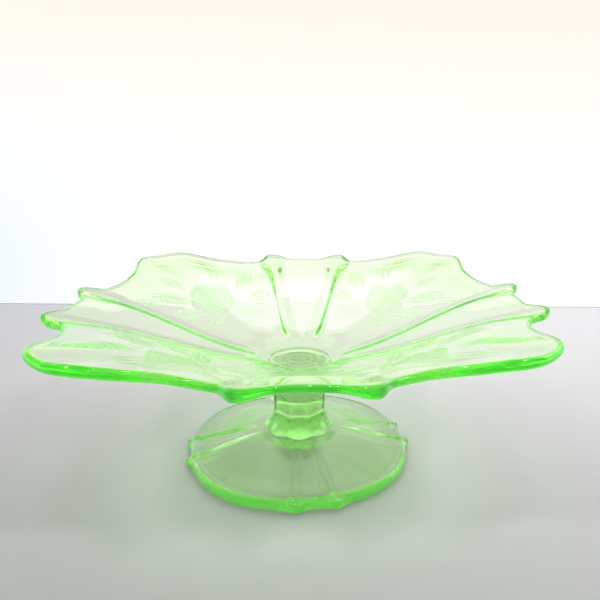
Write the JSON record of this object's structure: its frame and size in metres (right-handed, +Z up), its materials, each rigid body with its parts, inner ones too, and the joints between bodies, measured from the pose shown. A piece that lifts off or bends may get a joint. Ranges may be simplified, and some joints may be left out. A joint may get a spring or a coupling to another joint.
{
  "type": "footed glass dish",
  "caption": "Square flared pedestal dish of pressed uranium glass, with paired ribs, a faceted stem and a ribbed round foot; serves or displays food.",
  "frame": {"origin": "on the table, under the middle of the foot", "axes": "+Z up along the stem; +X and +Y towards the middles of two sides of the square bowl, the bowl a little wider along X"},
  "size_m": [0.2598, 0.2438, 0.0987],
  "materials": {
    "uranium_glass": "fire-polished transparent yellow-green glass, the bowl's panels acid-etched with matt flower sprays"
  },
  "bodies": {
    "root": {"bowl": "uranium_glass", "upper_wafer": "uranium_glass", "stem": "uranium_glass", "collar_wafer": "uranium_glass", "foot": "uranium_glass"}
  },
  "joints": []
}
